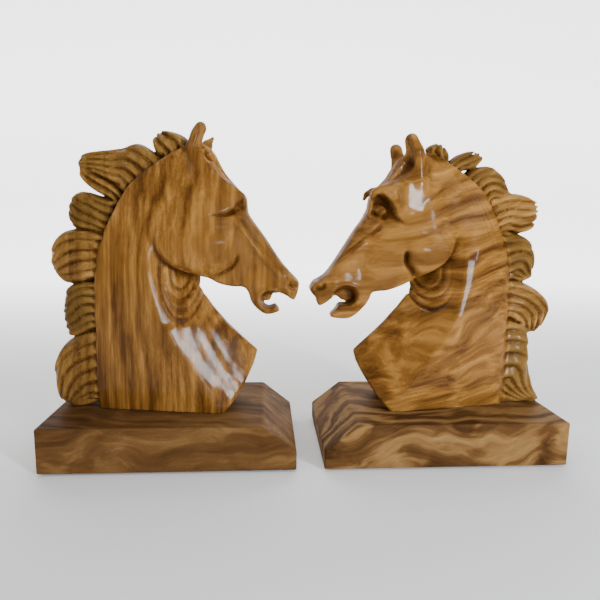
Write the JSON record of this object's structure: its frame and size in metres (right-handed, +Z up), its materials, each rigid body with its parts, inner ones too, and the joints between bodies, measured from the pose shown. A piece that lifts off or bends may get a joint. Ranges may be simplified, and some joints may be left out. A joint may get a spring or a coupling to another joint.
{
  "type": "horse head book ends",
  "caption": "Carved wooden horse head book ends: each a chamfered block carrying a head, neck and mane, held from below by screws and resting on felt pads.",
  "frame": {"origin": "on the table, midway between the two book ends as they stand face to face", "axes": "+X from the left book end to the right one, along both blocks; +Y away from the side that is looked at, across the blocks; +Z up"},
  "size_m": [0.3863, 0.104, 0.2464],
  "materials": {
    "left_base_wood": "gloss lacquer",
    "right_base_wood": "gloss lacquer",
    "left_horse_wood": "gloss lacquer",
    "right_horse_wood": "gloss lacquer",
    "screw_steel": "bright zinc",
    "felt": "pressed felt"
  },
  "bodies": {
    "left_book_end": {"left_base": "left_base_wood", "left_horse": "left_horse_wood", "left_screw_1": "screw_steel", "left_screw_2": "screw_steel", "left_felt_pad_1": "felt", "left_felt_pad_2": "felt", "left_felt_pad_3": "felt", "left_felt_pad_4": "felt"},
    "right_book_end": {"right_base": "right_base_wood", "right_horse": "right_horse_wood", "right_screw_1": "screw_steel", "right_screw_2": "screw_steel", "right_felt_pad_1": "felt", "right_felt_pad_2": "felt", "right_felt_pad_3": "felt", "right_felt_pad_4": "felt"}
  },
  "joints": [
    {"name": "book_gap", "type": "slide", "parent": "left_book_end", "child": "right_book_end", "axis": [1, 0, 0], "range_m": [0, 0.4]}
  ]
}
